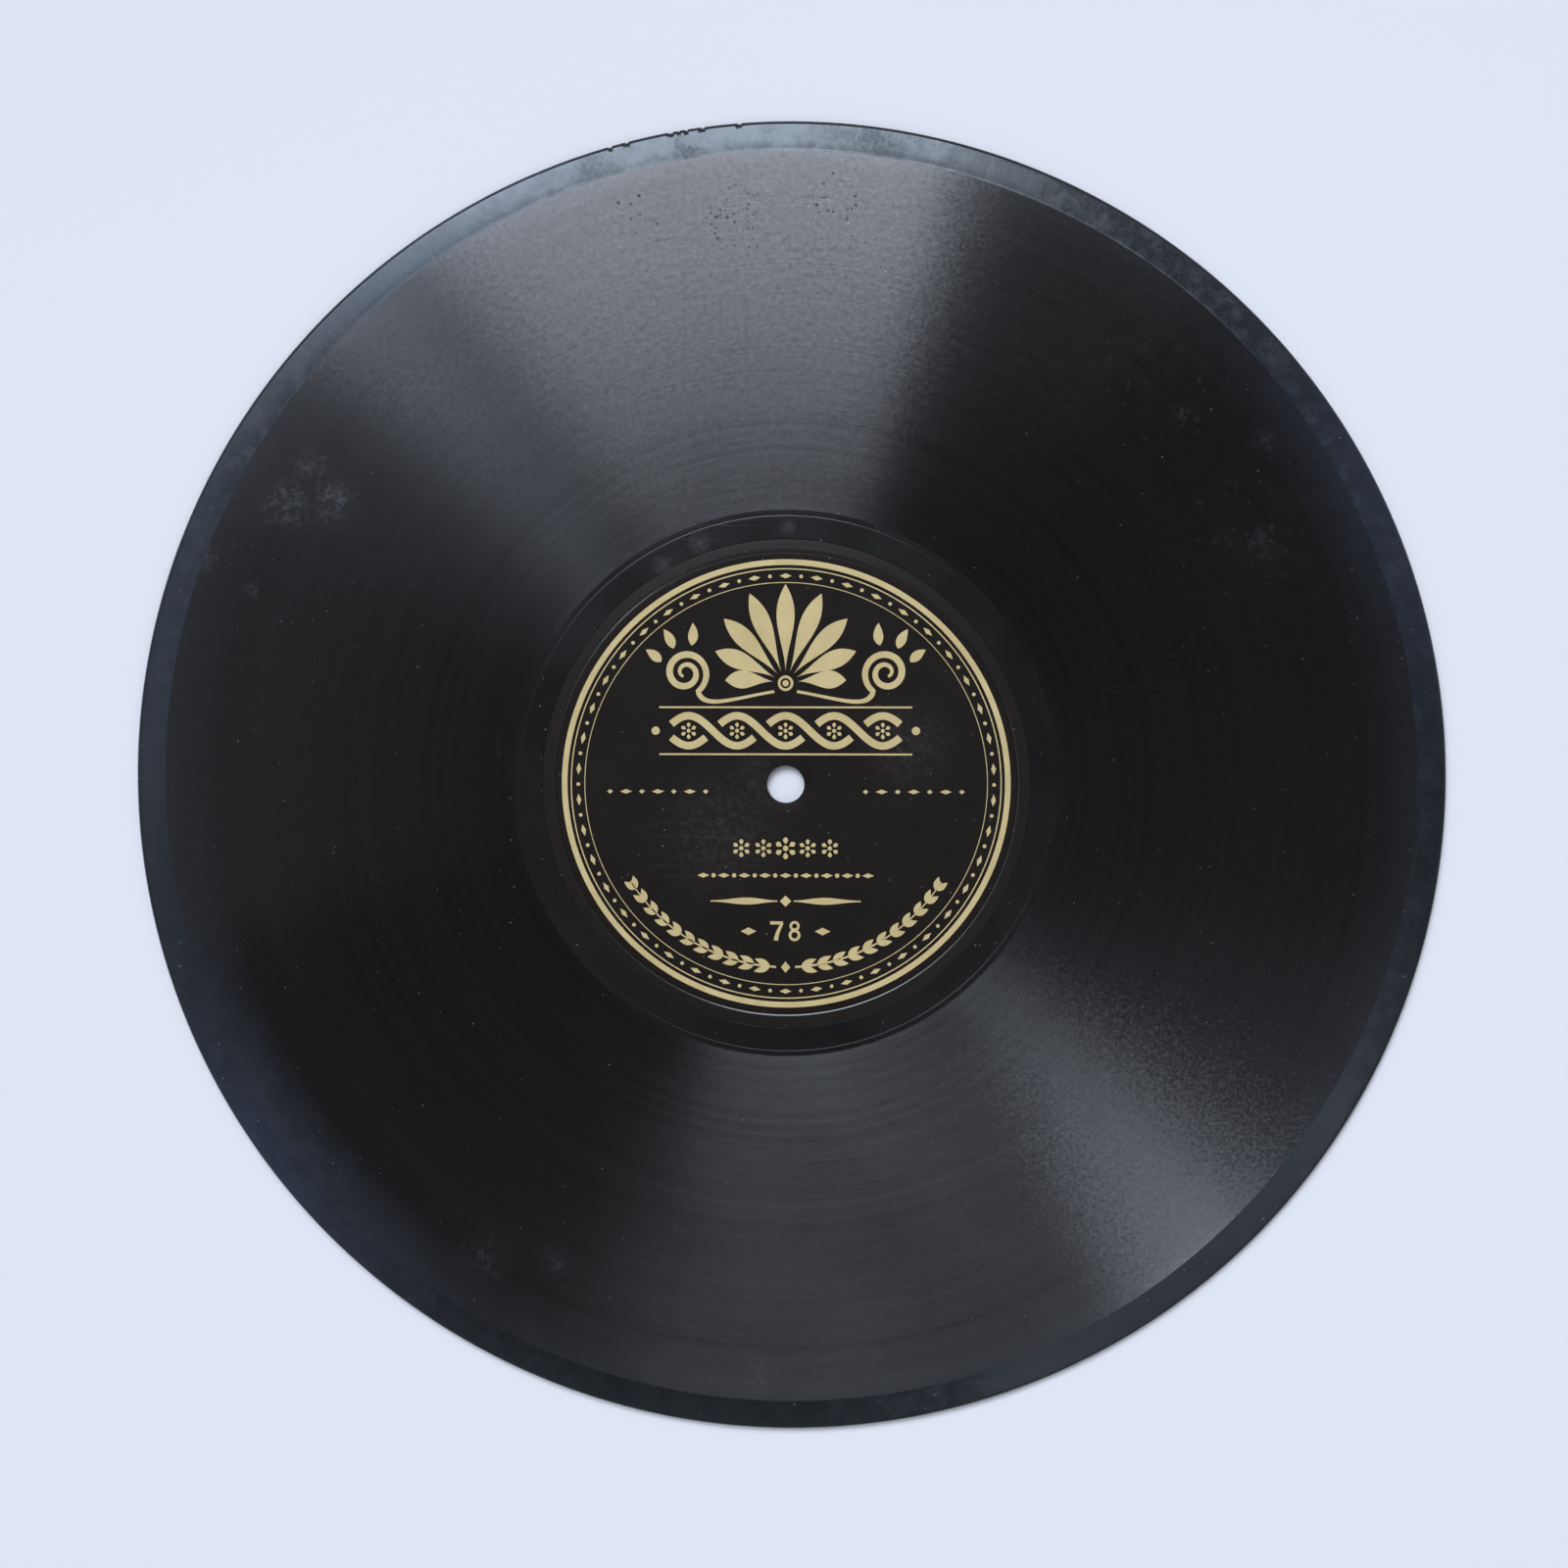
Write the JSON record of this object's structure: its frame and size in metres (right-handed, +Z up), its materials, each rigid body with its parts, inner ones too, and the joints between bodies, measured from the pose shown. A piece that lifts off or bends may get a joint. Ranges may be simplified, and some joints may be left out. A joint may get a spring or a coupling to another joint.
{
  "type": "shellac record",
  "caption": "Shellac disc record with a spiral groove on each face, a smooth rounded rim, paper centre labels and a spindle hole.",
  "frame": {"origin": "middle of the spindle hole on the lower face, side B", "axes": "+Z up along the spindle hole, out of side A; +X to the right and +Y to the top of the label's print"},
  "size_m": [0.254, 0.254, 0.0021],
  "materials": {
    "shellac": "pressed shellac compound, glossy on the blank margin and land, fine-grooved on the playing faces",
    "label_paper": "matt brown-black label paper with gold printing ink"
  },
  "bodies": {
    "root": {"shellac_disc": "shellac", "label_side_a": "label_paper", "label_side_b": "label_paper"}
  },
  "joints": []
}
